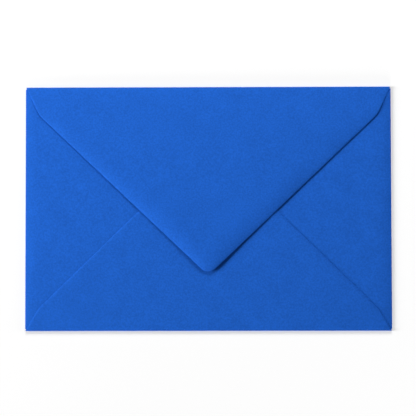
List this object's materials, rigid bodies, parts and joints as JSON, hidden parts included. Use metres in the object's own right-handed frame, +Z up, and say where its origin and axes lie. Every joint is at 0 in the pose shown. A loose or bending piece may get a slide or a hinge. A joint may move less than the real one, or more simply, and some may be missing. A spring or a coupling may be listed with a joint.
{
  "type": "paper envelope",
  "caption": "Blue paper envelope, folded from one sheet, with glued side and bottom flaps and a deep pointed seal flap that lies closed on its back.",
  "frame": {"origin": "middle of the front panel's outer face, on which the envelope lies", "axes": "+X along the envelope's length to the right, +Y from the bottom fold to the seal flap's fold, +Z up through the back and the seal flap"},
  "size_m": [0.18, 0.12, 0.0039],
  "materials": {
    "blue_paper": "uncoated paper, dyed deep blue through its thickness, fine cloudy fibre"
  },
  "bodies": {
    "root": {"envelope_sheet": "blue_paper"}
  },
  "joints": []
}
